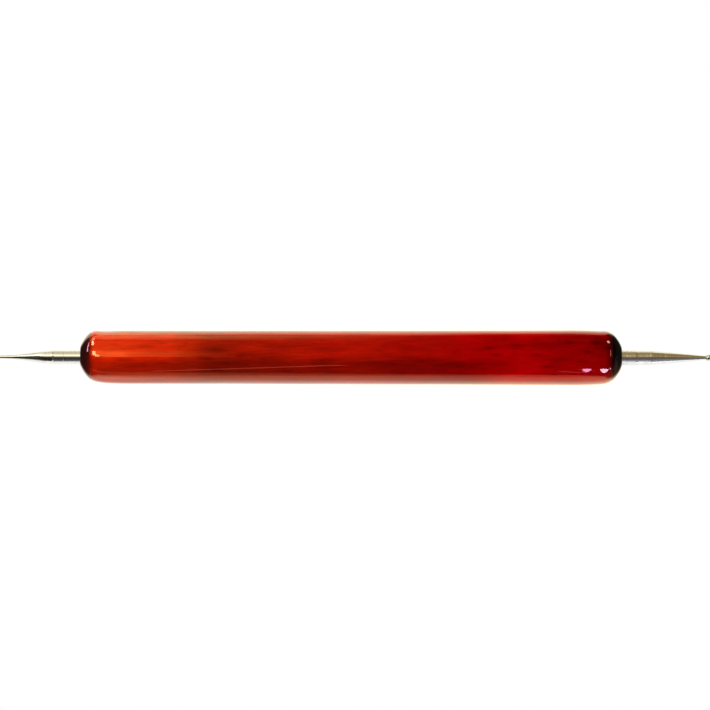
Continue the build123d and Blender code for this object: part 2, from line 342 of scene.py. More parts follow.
# single darker flecks and patches
FLECKS = [
    # px, py, half length, half height (pixels), darkness
    (487.7, 348.0, 6, 1.6, 0.40), (494.8, 354.6, 5, 1.4, 0.40), (514.6, 345.0, 9, 2.2, 0.25),
    (535.4, 338.9, 6, 1.6, 0.35), (535.4, 354.6, 6, 1.6, 0.35), (567.7, 342.6, 6, 1.6, 0.35),
    (476.5, 363.7, 6, 1.5, 0.30), (457.4, 366.6, 6, 1.5, 0.25), (546.0, 366.6, 6, 1.5, 0.25),
    (593.4, 342.6, 5, 2.0, 0.40), (586.0, 351.3, 6, 1.8, 0.35), (583.0, 361.0, 7, 1.8, 0.25),
    (606.0, 347.6, 6, 1.8, 0.62), (216.0, 350.0, 9, 3.2, 0.35), (215.0, 369.0, 9, 2.6, 0.30),
    (240.0, 355.5, 5, 1.6, 0.30), (142.0, 346.0, 13, 2.2, 0.30), (124.0, 359.5, 11, 2.0, 0.25),
    (205.0, 352.0, 13, 8, 0.20), (168.0, 371.5, 16, 1.3, 0.22), (600.0, 342.0, 12, 7, 0.35),
    (208.0, 358.5, 9, 2.6, 0.25), (228.0, 362.0, 12, 2.0, 0.20), (330.0, 359.0, 12, 1.6, 0.25),
    # paler streaks
    (300.0, 336.4, 40, 0.55, -0.30), (255.0, 335.2, 24, 0.50, -0.25), (196.0, 337.5, 26, 1.6, -0.30),
    (204.0, 341.0, 18, 1.6, -0.15),
]
for px, py, a, b, dark in FLECKS:
    spot_at = spot(px, py)
    m = w.blob(tuple(spot_at), (a * PIXEL * 1.6, b * PIXEL * 1.6, b * PIXEL * 1.6), 0.1)
    grain_and_painted_shade = w.math("MULTIPLY", grain_and_painted_shade, w.math("MULTIPLY_ADD", m, -dark, 1.0))
colour = w.mix(1.0, base, w.add("ShaderNodeCombineColor").outputs[0], "MULTIPLY")
mult = [n for n in w.tree.nodes if n.bl_idname == "ShaderNodeCombineColor"][0]
for i in range(3):
    w.link(grain_and_painted_shade, mult.inputs[i])
# painted highlight: a long pale line of reflected light along the lacquer, and a short one at the broad end, mixed into
# the wood colour
painted_glint = 0.0
for px, py, a in [(160 + 12.5 * k, 370.6 - 0.406 * k, 9.0) for k in range(15)] + [(562, 371.2, 5), (570, 371.7, 5), (577, 372.1, 4)]:
    painted_glint = w.math("MAXIMUM", painted_glint, w.blob(tuple(spot(px, py)), (a * PIXEL * 1.6, 0.14, 0.14), 0.1))
colour = w.mix(w.math("MULTIPLY", painted_glint, 0.38), colour, (0.75, 0.09, 0.06))
w.link(colour, w.bsdf.inputs["Base Color"])
w.set(Roughness=0.55, Specular_IOR_Level=0.0, Coat_Weight=1.0, Coat_Roughness=0.03, Coat_IOR=1.5)
grain = w.noise(w.place((3.0, 0.25, 0.25)), detail=3)
bump = w.add("ShaderNodeBump")
bump.inputs["Strength"].default_value = 0.05
bump.inputs["Distance"].default_value = 0.00003
w.link(grain, bump.inputs["Height"])
w.link(bump.outputs["Normal"], w.bsdf.inputs["Normal"])
WOOD = w.mat

# ---- dipped black enamel, thin and dark red where it runs out over the wood
e = Nodes("black_enamel")
xyz = e.add("ShaderNodeSeparateXYZ")
e.link(e.place((1, 1, 1), (MIDDLE, 0, 0)), xyz.inputs[0])
cloud = e.noise(e.place((1.2, 1.2, 1.2)), detail=3)
wander = e.math("MULTIPLY_ADD", cloud, 0.5, -0.25)
inwards = e.math("ADD", e.math("ADD", xyz.outputs["X"], HALF), wander)
thin_fine = e.ramp(e.span(inwards, 0.0, 2.4, kind="LINEAR"), [
    (0.0, (0.026, 0.004, 0.003)), (0.45, (0.026, 0.003, 0.002)), (0.74, (0.06, 0.004, 0.003)),
    (1.0, (0.17, 0.007, 0.003))])
outwards = e.math("ADD", e.math("SUBTRACT", HALF, xyz.outputs["X"]), wander)
thin_broad = e.ramp(e.span(outwards, 0.0, 2.2, kind="LINEAR"), [
    (0.0, (0.006, 0.0045, 0.004)), (0.86, (0.006, 0.0040, 0.004)), (1.0, (0.012, 0.003, 0.003))])
tint = e.mix(e.span(xyz.outputs["X"], -1, 1), thin_fine, thin_broad)
e.link(tint, e.bsdf.inputs["Base Color"])
e.set(Roughness=0.07, IOR=1.5)
dip = e.noise(e.place((1.4, 1.4, 1.4)), detail=2)
bump = e.add("ShaderNodeBump")
bump.inputs["Strength"].default_value = 0.15
bump.inputs["Distance"].default_value = 0.00004
e.link(dip, bump.inputs["Height"])
e.link(bump.outputs["Normal"], e.bsdf.inputs["Normal"])
ENAMEL = e.mat


# ---- turned steel rods
def steel(name, light, dark, roughness, aniso):
    s = Nodes(name)
    tone = s.noise(s.place((0.35, 0.9, 0.9)), detail=4, rough=0.6)
    s.link(s.ramp(tone, [(0.30, dark), (0.70, light)]), s.bsdf.inputs["Base Color"])
    s.set(Metallic=1.0, Roughness=roughness, Anisotropic=aniso)
    lines = s.noise(s.place((0.035, 60.0, 60.0)), detail=3, rough=0.7)
    bump = s.add("ShaderNodeBump")
    bump.inputs["Strength"].default_value = 0.35
    bump.inputs["Distance"].default_value = 0.000006
    s.link(lines, bump.inputs["Height"])
    s.link(bump.outputs["Normal"], s.bsdf.inputs["Normal"])
    tangent = s.add("ShaderNodeTangent", direction_type="RADIAL", axis="X")
    s.link(tangent.outputs["Tangent"], s.bsdf.inputs["Tangent"])
    s.bsdf.inputs["Anisotropic Rotation"].default_value = 0.25
    return s.mat


STEEL_FINE = steel("rod_steel_fine", (0.86, 0.85, 0.82), (0.76, 0.75, 0.71), 0.09, 0.9)
STEEL_BROAD = steel("rod_steel_broad", (0.86, 0.85, 0.82), (0.72, 0.71, 0.68), 0.15, 0.9)

b = Nodes("ball_steel")
scratch = b.noise(b.place((0.25, 0.04, 0.04)), detail=3)
b.link(b.ramp(scratch, [(0.35, (0.66, 0.66, 0.65)), (0.65, (0.80, 0.80, 0.79))]), b.bsdf.inputs["Base Color"])
b.set(Metallic=1.0)
b.link(b.span(b.noise(b.place((0.2, 0.2, 0.2)), detail=3), 0.3, 0.7, 0.05, 0.14, "LINEAR"), b.bsdf.inputs["Roughness"])
BALL = b.mat

z = Nodes("silver_braze")
z.link(z.ramp(z.noise(z.place((0.15, 0.15, 0.15)), detail=4),
              [(0.3, (0.50, 0.44, 0.32)), (0.7, (0.74, 0.70, 0.60))]), z.bsdf.inputs["Base Color"])
z.set(Metallic=1.0)
z.link(z.span(z.noise(z.place((0.1, 0.1, 0.1)), detail=3), 0.3, 0.7, 0.22, 0.42, "LINEAR"), z.bsdf.inputs["Roughness"])
BRAZE = z.mat

g = Nodes("adhesive")
g.link(g.ramp(g.noise(g.place((1.5, 0.6, 0.6)), detail=4),
              [(0.3, (0.40, 0.30, 0.12)), (0.7, (0.66, 0.56, 0.34))]), g.bsdf.inputs["Base Color"])
g.set(Roughness=0.35, IOR=1.5)
GLUE = g.mat

# ---------------------------------------------------------------- the handle
BORE_R, BORE_DEPTH, DRILL_POINT = 1.26, 17.6, 1.26 / math.tan(math.radians(59))
MOUTH_D = 0.40


def steps(side):
    """Depths of the stations over one nose, dense where it curves."""
    return (spread(MOUTH_D, 1.2, 9)[:-1] + spread(1.2, 3.8, 30)[:-1] + spread(3.8, 11.0, 22))


def nose_stations(side):
    out = []
    for d in steps(side):
        r = wood(side, d)
        if d == MOUTH_D:
            r = max(r, BORE_R + 0.05)
        out.append((end_x(side, d), r, drift(side, d, r)))
    return out


fine_side, broad_side = nose_stations(-1), nose_stations(1)
middle = [(x, outline(x), 0.0) for x in spread(end_x(-1, 11.0), end_x(1, 11.0), 110)[1:-1]]
handle_line = ([(end_x(-1, BORE_DEPTH + DRILL_POINT), 0.0, 0.0), (end_x(-1, BORE_DEPTH), BORE_R, 0.0),
                (end_x(-1, 9.0), BORE_R, 0.0), (end_x(-1, MOUTH_D), BORE_R, 0.0)] + fine_side + middle
               + broad_side[::-1] + [(end_x(1, MOUTH_D), BORE_R, 0.0), (end_x(1, 9.0), BORE_R, 0.0),
                                     (end_x(1, BORE_DEPTH), BORE_R, 0.0),
                                     (end_x(1, BORE_DEPTH + DRILL_POINT), 0.0, 0.0)])


def hand_turned(x, a):
    """The slight waviness and out-of-round of a stick that was turned and sanded by hand."""
    inner = smooth(0.0, 6.0, HALF - abs(x - MIDDLE))
    return inner * (0.0040 * math.sin(x / 1.9 + 0.6) + 0.0035 * math.sin(x / 3.3 + 2.0 * math.sin(a))
                    + 0.006 * math.sin(2 * a + x / 31.0))


def handle_wobble(x, a):
    return hand_turned(x, a)


handle = turned("handle_turned", handle_line, 224, wobble=handle_wobble, rough=50)
handle.data.materials.append(WOOD)


# ---------------------------------------------------------------- enamel domes
SHANK_R = {-1: 1.50, 1: 1.54}


def cap(name, side):
    e_at, rod = COAT_EDGE_AT[side], SHANK_R[side]
    front = {-1: 0.07, 1: 0.10}[side]
    outer = [(end_x(side, front - 0.05), rod - 0.01, 0.0), (end_x(side, front - 0.03), rod + 0.015, 0.0),
             (end_x(side, front - 0.01), rod + 0.05, 0.0)]
    for d in spread(front, e_at, 40):
        r = max(coat(side, d), rod + 0.08)
        outer.append((end_x(side, d), r, drift(side, d, r)))
    inner = []
    for d in spread(e_at, MOUTH_D, 14)[1:]:
        r = wood(side, d) - 0.004
        inner.append((end_x(side, d), max(r, BORE_R + 0.05), drift(side, d, r)))
    inner += [(end_x(side, MOUTH_D), BORE_R - 0.02, 0.0), (end_x(side, front + 0.05), rod - 0.02, 0.0)]
    obj = turned(name, outer + inner, 192, closed=True, rough=60)
    obj.data.materials.append(ENAMEL)
    return obj


fine_cap = cap("fine_enamel_dome", -1)
broad_cap = cap("broad_enamel_dome", 1)

# ---------------------------------------------------------------- rods
TAPERS = {
    -1: dict(shank=5.7, length=11.7, neck=0.35, neck_len=0.35, ball=0.60,
             line=((0.0, 1.470), (2.5, 1.265), (5.6, 0.790), (8.7, 0.450), (11.35, 0.350))),
    1: dict(shank=6.0, length=11.6, neck=0.42, neck_len=0.35, ball=0.70,
            line=((0.0, 1.465), (2.0, 1.290), (4.1, 1.120), (6.2, 0.930), (8.3, 0.735), (11.25, 0.420))),
}


def seat(t):
    return math.sqrt(t["ball"] ** 2 - t["neck"] ** 2)


def rod(name, side, material):
    t = TAPERS[side]
    full = SHANK_R[side]
    tang_r, groove, width = 1.20, 0.18, 0.50
    line = [(-17.0, 0.0), (-17.0, tang_r - 0.30), (-16.7, tang_r)]
    for at in (13.5, 10.5, 7.5, 4.5):
        line += [(-at - width / 2, tang_r), (-at, tang_r - groove), (-at + width / 2, tang_r)]
    line += [(-0.42, tang_r), (-0.16, full), (0.20, full)]
    # the shank, with the marks that the turning tool left
    marks = {-1: ((3.4, 0.010), (5.55, 0.022)), 1: ((0.9, 0.008), (5.90, 0.034))}[side]
    step_at = {-1: None, 1: 3.05}[side]

    def shank(d):
        r = full
        if step_at:
            r -= 0.065 * smooth(step_at - 0.25, step_at + 0.25, d)
        for at, deep in marks:
            r -= deep * math.exp(-((d - at) / 0.055) ** 2)
        return r + 0.0012 * math.sin(d * 34.0) * smooth(0.3, 0.8, d)

    line += [(d, shank(d)) for d in spread(0.26, t["shank"], 150)]
    rings = {-1: ((1.2, 0.006), (4.4, 0.004)), 1: ((0.9, 0.006), (2.85, 0.020), (4.2, 0.005))}[side]
    for d in spread(0.0, t["length"] - t["neck_len"], 190)[1:]:
        r = hermite(t["line"], d)
        for at, deep in rings:
            r -= deep * math.exp(-((d - at) / 0.06) ** 2)
        line.append((t["shank"] + d, r + 0.0010 * math.sin(d * 31.0)))
    rim = t["shank"] + t["length"]
    line.append((rim, t["neck"]))
    ball_at = rim + seat(t)
    start = math.asin(t["neck"] / t["ball"])
    for k in range(1, 7):
        a = start * (1 - k / 6)
        line.append((ball_at - t["ball"] * math.cos(a), t["ball"] * math.sin(a)))
    stations = [(end_x(side, -d), max(r, 0.0) if r > 1e-6 else 0.0, 0.0) for d, r in line]
    obj = turned(name, stations, 96, rough=35)
    obj.data.materials.append(material)
    return obj


fine_rod = rod("fine_turned_rod", -1, STEEL_FINE)
broad_rod = rod("broad_turned_rod", 1, STEEL_BROAD)


# ---------------------------------------------------------------- balls and brazes
def ball(name, side):
    t = TAPERS[side]
    centre = t["shank"] + t["length"] + seat(t)
    line = []
    for k in range(0, 49):
        a = math.pi * k / 48
        r = t["ball"]
        # the working end is burnished very slightly flat
        r -= 0.010 * smooth(math.radians(150), math.radians(180), a)
        line.append((end_x(side, -(centre - r * math.cos(a))), r * math.sin(a) if 0 < k < 48 else 0.0, 0.0))
    obj = turned(name, line, 96, rough=60)
    obj.data.materials.append(BALL)
    return obj


def braze(name, side):
    t = TAPERS[side]
    rim = t["shank"] + t["length"]
    centre = rim + seat(t)
    leg = 0.20
    start = math.asin(t["neck"] / t["ball"])
    stop = start + leg * 1.35 / t["ball"]
    p0 = Vector((rim - leg, t["neck"] - 0.004))
    p1 = Vector((centre - t["ball"] * math.cos(stop), t["ball"] * math.sin(stop)))
    corner = Vector((rim - 0.01, t["neck"] + 0.06))
    line = []
    for k in range(13):
        s = k / 12
        q = p0 * (1 - s) ** 2 + corner * 2 * s * (1 - s) + p1 * s * s
        line.append((q.x, q.y))
    line += [(centre - (t["ball"] - 0.02) * math.cos(a), (t["ball"] - 0.02) * math.sin(a))
             for a in (stop, (start + stop) / 2, start)]
    line += [(rim - 0.02, t["neck"] - 0.03), (rim - leg, t["neck"] - 0.03)]
    stations = [(end_x(side, -d), r, 0.0) for d, r in line]
    obj = turned(name, stations, 96, closed=True, rough=50,
                 wobble=lambda x, a: 0.004 * math.sin(3 * a + x) + 0.002 * math.sin(7 * a))
    obj.data.materials.append(BRAZE)
    return obj


fine_ball, broad_ball = ball("fine_polished_ball", -1), ball("broad_polished_ball", 1)
fine_braze, broad_braze = braze("fine_braze_fillet", -1), braze("broad_braze_fillet", 1)

for piece, node, slot in ((handle, "handle", "stained_wood"), (fine_cap, "fine_end_paint", "black_enamel"),
                          (broad_cap, "broad_end_paint", "black_enamel"), (fine_rod, "fine_rod", "rod_steel"),
                          (broad_rod, "broad_rod", "rod_steel"), (fine_ball, "fine_ball", "ball_steel"),
                          (broad_ball, "broad_ball", "ball_steel"), (fine_braze, "fine_braze", "silver_braze"),
                          (broad_braze, "broad_braze", "silver_braze")):
    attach(piece, "root")
    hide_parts(node)
for node in ("fine_glue", "broad_glue"):
    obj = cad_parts[node]
    obj.data.materials.clear()
    obj.data.materials.append(GLUE)

# ---------------------------------------------------------------- ground
REST = -0.00581
bm = bmesh.new()
corners = [bm.verts.new((x, y, REST)) for x, y in ((-7, -7), (7, -7), (7, 7), (-7, 7))]
bm.faces.new(corners)
mesh = bpy.data.meshes.new("ground")
bm.to_mesh(mesh)
bm.free()
ground = bpy.data.objects.new("ground", mesh)
scene.collection.objects.link(ground)


def emitter(n, colour, strength=1.0):
    """Turns a node tree into a plain light of this colour."""
    n.tree.nodes.remove(n.bsdf)
    lit = n.add("ShaderNodeEmission")
    lit.inputs["Strength"].default_value = strength
    if isinstance(colour, tuple):
        lit.inputs["Color"].default_value = (*colour, 1)
    else:
        n.link(colour, lit.inputs["Color"])
    out = [k for k in n.tree.nodes if k.bl_idname == "ShaderNodeOutputMaterial"][0]
    n.link(lit.outputs[0], out.inputs["Surface"])


# A white sheet. What the lacquer mirrors of it is a painted reflection: warm, reddish near the tool where the red
# stick's bounce light would fall, and falling off away from the tool.
n = Nodes("white_ground")
path = n.add("ShaderNodeLightPath")
xyz = n.add("ShaderNodeSeparateXYZ")
n.link(n.place((1, 1, 1)), xyz.inputs[0])
gx, gy = xyz.outputs["X"], xyz.outputs["Y"]


def sheet(*stops):
    """Colour by distance from the tool's axis: (mm, colour)."""
    return n.ramp(n.span(n.math("ABSOLUTE", gy), 0.0, 80.0, kind="LINEAR"), [(y / 80, c) for y, c in stops])


back = [sheet((0, (2.0, 1.7, 1.4)), (14, (2.0, 1.7, 1.4)), (56, (1.6, 1.0, 0.5)), (80, (0.8, 0.5, 0.2))),
        sheet((0, (2.0, 2.3, 1.9)), (4, (1.8, 2.25, 1.8)), (12, (0.72, 2.15, 1.65)), (30, (1.2, 2.3, 1.4)), (56, (1.6, 2.6, 0.9)),
              (80, (1.0, 1.4, 0.6))),
        sheet((0, (2.8, 2.7, 2.2)), (4, (2.7, 2.7, 2.1)), (12, (2.15, 2.7, 2.05)), (30, (2.9, 2.1, 1.4)), (56, (4.0, 1.4, 0.95)),
              (80, (1.4, 0.5, 0.25))),
        sheet((0, (2.5, 2.7, 2.05)), (14, (2.5, 2.6, 2.0)), (30, (2.4, 1.3, 0.9)), (56, (1.7, 0.14, 0.07)),
              (80, (0.5, 0.04, 0.02))),
        sheet((0, (2.2, 2.4, 1.85)), (14, (2.2, 2.4, 1.85)), (30, (2.6, 1.3, 0.9)), (56, (2.9, 0.42, 0.30)),
              (80, (0.8, 0.10, 0.07)))]
front = [sheet((0, (2.0, 1.6, 1.3)), (18, (2.0, 1.5, 1.2)), (46, (1.8, 0.9, 0.6)), (80, (1.0, 0.5, 0.3))),
         sheet((0, (1.4, 1.5, 1.25)), (10, (1.55, 1.35, 1.1)), (18, (2.5, 2.2, 1.5)), (46, (1.9, 0.8, 0.45)),
               (80, (1.0, 0.45, 0.2))),
         sheet((0, (2.5, 2.1, 1.8)), (10, (2.6, 2.1, 1.75)), (18, (3.0, 1.4, 0.9)), (46, (3.0, 1.1, 0.65)),
               (80, (1.6, 0.5, 0.25))),
         sheet((0, (2.4, 2.4, 1.8)), (10, (2.4, 2.2, 1.6)), (18, (2.5, 1.2, 0.75)), (46, (2.5, 0.85, 0.6)),
               (80, (1.6, 0.45, 0.3))),
         sheet((0, (3.2, 2.5, 1.9)), (10, (3.2, 2.3, 1.7)), (18, (3.6, 1.4, 0.8)), (46, (3.9, 1.0, 0.6)),
               (80, (2.4, 0.55, 0.35)))]
past_fine, fine_to_mid, mid_to_broad, last = [n.span(gx, a, b) for a, b in
                                              ((-58.5, -53.5), (-50.0, -22.0), (5.0, 35.0), (45.0, 53.0))]
back, front = [n.mix(last, n.mix(mid_to_broad, n.mix(fine_to_mid, n.mix(past_fine, k[0], k[1]), k[2]), k[3]), k[4])
               for k in (back, front)]
tone = n.mix(n.span(gy, -0.5, 0.5), front, back)
# painted shade in the reflection: beyond the handle's ends the lacquer finds little light
out_x = n.math("ABSOLUTE", n.math("SUBTRACT", gx, MIDDLE))
slant = n.math("MULTIPLY", n.span(gy, 4.0, 30.0, 0.0, 16.0, "LINEAR"), n.span(gx, -1.0, 1.0, 1.0, 0.0))
floor_level = n.math("MULTIPLY_ADD", n.math("MULTIPLY", n.span(gy, -3.0, -9.0), n.span(gx, -1.0, 1.0)), 0.07, 0.015)
within = n.span(n.math("SUBTRACT", out_x, slant), 56.3, 62.5, 1.0, 0.0)
level = n.math("ADD", within, n.math("MULTIPLY", floor_level, n.math("SUBTRACT", 1.0, within)))
grey = n.add("ShaderNodeCombineColor")
for i in range(3):
    n.link(level, grey.inputs[i])
# the painted reflection: the sheet's warm tone times the painted darkening beyond the ends, seen by glossy rays only
mirrored = n.mix(1.0, tone, grey.outputs[0], "MULTIPLY")
lit = n.mix(path.outputs["Is Glossy Ray"], (0.32, 0.31, 0.29), mirrored)
lit = n.mix(path.outputs["Is Camera Ray"], lit, (1.0, 1.0, 1.0))
emitter(n, lit)
mesh.materials.append(n.mat)

# ---------------------------------------------------------------- surroundings
world = bpy.data.worlds.new("studio")
scene.world = world
world.use_nodes = True
wt = world.node_tree
wt.nodes.clear()
out = wt.nodes.new("ShaderNodeOutputWorld")
path = wt.nodes.new("ShaderNodeLightPath")
seen = wt.nodes.new("ShaderNodeBackground")
seen.inputs["Color"].default_value = (1, 1, 1, 1)
seen.inputs["Strength"].default_value = 1.1
soft = wt.nodes.new("ShaderNodeBackground")
soft.inputs["Color"].default_value = (1, 1, 1, 1)
soft.inputs["Strength"].default_value = 0.035
shiny = wt.nodes.new("ShaderNodeBackground")
shiny.inputs["Color"].default_value = (1.0, 0.9, 0.72, 1)
shiny.inputs["Strength"].default_value = 0.01
m1 = wt.nodes.new("ShaderNodeMixShader")
m2 = wt.nodes.new("ShaderNodeMixShader")
wt.links.new(path.outputs["Is Glossy Ray"], m1.inputs["Fac"])
wt.links.new(soft.outputs[0], m1.inputs[1])
wt.links.new(shiny.outputs[0], m1.inputs[2])
wt.links.new(path.outputs["Is Camera Ray"], m2.inputs["Fac"])
wt.links.new(m1.outputs[0], m2.inputs[1])
wt.links.new(seen.outputs[0], m2.inputs[2])
wt.links.new(m2.outputs[0], out.inputs["Surface"])

LACQUERED = bpy.data.collections.new("lacquered")
for piece in (handle, fine_cap, broad_cap):
    LACQUERED.objects.link(piece)
# the dark domes show no second rod: their finish is too thin and wavy close round it
fine_rod.visible_glossy = broad_rod.visible_glossy = False
ground.light_linking.receiver_collection = LACQUERED
BARE = bpy.data.collections.new("bare_lacquer")
BARE.objects.link(handle)
METAL = bpy.data.collections.new("metal")
for piece in (fine_rod, broad_rod, fine_ball, broad_ball, fine_braze, broad_braze):
    METAL.objects.link(piece)


def hidden(obj, glossy, receivers=None):
    """Never in the picture itself: lights either the mirror finish or the body colour."""
    obj.visible_camera = False
    obj.visible_transmission = False
    obj.visible_volume_scatter = False
    obj.visible_glossy = glossy
    obj.visible_diffuse = not glossy
    obj.visible_shadow = False
    if receivers:
        obj.light_linking.receiver_collection = receivers
    return obj


def soft_light(name, x, theta, distance, size, strength, colour):
    """A light for the body colour. theta: degrees from overhead towards the front (-Y);
    strength: how bright it makes a white card that faces it."""
    a = math.radians(theta)
    centre = Vector((0, -math.sin(a), math.cos(a))) * distance + Vector((x, 0, 0))
    far = centre.length
    data = bpy.data.lights.new(name, "AREA")
    data.shape = "RECTANGLE"
    data.size = data.size_y = size * MM
    radiance = strength * math.pi * (far / size) ** 2
    data.energy = radiance * math.pi * (size * MM) ** 2
    data.color = colour
    obj = bpy.data.objects.new(name, data)
    scene.collection.objects.link(obj)
    zax = centre.normalized()
    xax = (Vector((1, 0, 0)) - zax * zax.x).normalized()
    m = Matrix((xax, zax.cross(xax), zax)).transposed().to_4x4()
    m.translation = centre * MM
    obj.matrix_world = m
    return hidden(obj, False)


soft_light("key_back", 51, -61.4, 257, 150, 0.56, (1.0, 0.98, 0.95))
soft_light("key_left", -233, -35.5, 250, 150, 0.65, (1.0, 0.98, 0.95))
soft_light("fill_front", 59, 74.8, 773, 380, 1.0, (1.0, 0.98, 0.95))


def shape(x):
    """(radius, offset along U) of the surface that the view shows at x."""
    side = -1 if x < MIDDLE else 1
    d = HALF - abs(x - MIDDLE)
    r = coat(side, d) if d < COAT_EDGE_AT[side] else wood(side, d)
    return r, drift(side, d, r)


def gap(p):
    r, off = shape(p.x)
    q = Vector((0, p.y, p.z)) - U * off
    bare = HALF - abs(p.x - MIDDLE) >= COAT_EDGE_AT[-1 if p.x < MIDDLE else 1]
    return q.length - r - (hand_turned(p.x, math.atan2(q.z, q.y)) if bare else 0.0)


def mirror(px, py):
    """Where on the handle the view ray of this pixel lands, which way it is mirrored, and how strongly."""
    eye = aim + V * DISTANCE
    ray = (aim + RIGHT * (px - 354.5) * PIXEL - UP * (py - 354.5) * PIXEL - eye).normalized()
    t = DISTANCE - 12.0
    while gap(eye + ray * t) > 0:
        t += 0.05
        if t > DISTANCE + 8.0:
            raise ValueError(f"{px},{py} misses the handle")
    lo, hi = t - 0.05, t
    for _ in range(24):
        mid = (lo + hi) / 2
        lo, hi = (mid, hi) if gap(eye + ray * mid) > 0 else (lo, mid)
    p = eye + ray * hi
    h = 0.02
    normal = Vector([gap(p + s * h) - gap(p - s * h) for s in (Vector((1, 0, 0)), Vector((0, 1, 0)), Vector((0, 0, 1)))])
    normal.normalize()
    c = max(0.02, -ray.dot(normal))
    g_ = math.sqrt(1.25 + c * c)
    share = 0.5 * ((g_ - c) / (g_ + c)) ** 2 * (1 + ((c * (g_ + c) - 1) / (c * (g_ - c) + 1)) ** 2)
    return p, ray + 2 * c * normal, share


def panel(name, points, colour, receivers, fan=False):
    """A lit panel from its corners in mm; fan: the first point is the middle of the others."""
    bm = bmesh.new()
    verts = [bm.verts.new(p * MM) for p in points]
    if fan:
        for p, q in zip(verts[1:], verts[2:] + verts[1:2]):
            bm.faces.new((verts[0], p, q))
    else:
        bm.faces.new(verts)
    mesh = bpy.data.meshes.new(name)
    bm.to_mesh(mesh)
    bm.free()
    obj = bpy.data.objects.new(name, mesh)
    scene.collection.objects.link(obj)
    n = Nodes(name)
    if callable(colour):
        colour = colour(n)
    emitter(n, colour)
    mesh.materials.append(n.mat)
    return hidden(obj, True, receivers)


def glint(name, outline_px, added, distance=600.0, on=None):
    """A window or lamp of the room, placed by the mirror law from where its reflection lies on
    the lacquer: the reflection's outline in the picture, and how much light it adds there."""
    n_ = len(outline_px)
    middle_px = (sum(c[0] for c in outline_px) / n_, sum(c[1] for c in outline_px) / n_)
    hits = [mirror(*c) for c in (middle_px, *outline_px)]
    share = sum(h[2] for h in hits) / (n_ + 1)
    points = [p + r * distance for p, r, _ in hits]
    return panel(name, points, tuple(v / share for v in added), on or LACQUERED, fan=True)


glint("window_dome_high", [(87.2, 341.6), (88.8, 341.6), (88.4, 346.2), (86.9, 346.2)], (0.85, 0.34, 0.40))
glint("window_dome_low", [(86.0, 344.6), (87.7, 344.6), (87.5, 351.0), (85.5, 351.0)], (0.72, 0.55, 0.78), 580)
glint("lamp_left_a", [(91.1, 340.6), (93.5, 340.6), (93.3, 344.6), (91.0, 344.6)], (0.80, 0.68, 0.44), on=BARE)
glint("lamp_left_b", [(92.0, 337.9), (94.1, 337.9), (94.0, 340.0), (92.0, 340.0)], (0.30, 0.20, 0.12), on=BARE)
glint("tube_left_a", [(91.8, 350.8), (94.6, 350.8), (95.2, 354.3), (92.4, 354.7)], (0.70, 0.50, 0.27), on=BARE)
glint("tube_left_b", [(94.9, 353.6), (98.4, 354.2), (98.5, 356.3), (93.6, 355.8)], (0.60, 0.40, 0.15), 590, BARE)
glint("lamp_right", [(606.5, 340.4), (607.4, 340.2), (608.4, 340.5), (609.2, 341.2), (609.3, 342.2), (608.6, 342.7),
                     (607.6, 342.5), (606.8, 341.8)], (0.66, 0.34, 0.28), on=BARE)
glint("strip_right", [(609.8, 349.4), (610.4, 349.4), (610.4, 355.8), (609.8, 355.8)], (0.34, 0.10, 0.08), on=BARE)
glint("window_front_a", [(581.9, 368.7), (583.3, 368.5), (584.9, 368.4), (586.5, 368.4), (588.1, 368.4), (589.5, 368.5),
                         (590.7, 368.7), (590.4, 369.5), (589.6, 370.4), (588.4, 371.2), (587.0, 371.6), (585.6, 371.6),
                         (584.2, 371.2), (583.0, 370.4), (582.2, 369.5)],
      (0.75, 0.30, 0.58), on=BARE)
glint("window_front_b", [(599.5, 368.7), (600.8, 368.5), (602.2, 368.4), (603.7, 368.4), (605.2, 368.4), (606.6, 368.5),
                         (607.8, 368.7), (607.7, 369.6), (607.1, 370.6), (606.1, 371.6), (604.9, 372.2), (603.5, 372.4),
                         (602.1, 372.1), (600.9, 371.2), (600.0, 370.0)],
      (0.75, 0.56, 0.75), on=BARE)
glint("window_front_c", [(609.3, 367.6), (609.9, 367.3), (610.4, 367.7), (610.4, 368.6), (610.0, 369.2), (609.5, 369.0)],
      (0.40, 0.30, 0.36), on=BARE)


# the ceiling over the fine end, and a low warm glow along the walls behind and in front of it
def lit_face(name, centre, across, up, colour):
    """A rectangle that shines from one face. across and up: its half sides; colour(nodes) gives its radiance."""
    centre, across, up = Vector(centre), Vector(across), Vector(up)
    data = bpy.data.lights.new(name, "AREA")
    data.shape = "RECTANGLE"
    data.size, data.size_y = across.length * 2 * MM, up.length * 2 * MM
    data.energy = math.pi * data.size * data.size_y
    light = LightNodes(data)
    light.link(colour(light), data.node_tree.nodes["Emission"].inputs["Color"])
    obj = bpy.data.objects.new(name, data)
    scene.collection.objects.link(obj)
    x_, y_ = across.normalized(), up.normalized()
    m = Matrix((x_, y_, x_.cross(y_))).transposed().to_4x4()
    m.translation = centre * MM
    obj.matrix_world = m
    return hidden(obj, True, LACQUERED)


def tinted(n, level, colour):
    c = n.add("ShaderNodeCombineColor")
    for i, v in enumerate(colour):
        n.link(n.math("MULTIPLY", level, v), c.inputs[i])
    return c.outputs[0]


def ceiling(n):
    xyz = n.add("ShaderNodeSeparateXYZ")
    n.link(n.place((1, 1, 1)), xyz.inputs[0])
    front_edge = n.span(xyz.outputs["Y"], -84.0, -76.0)
    back = n.span(xyz.outputs["Y"], 15.0, 135.0, 1.0, 0.25)
    end = n.span(xyz.outputs["X"], -82.0, -32.0, 1.0, 0.0)
    return tinted(n, n.math("MULTIPLY", n.math("MULTIPLY", front_edge, back), end), (4.4, 1.65, 0.30))


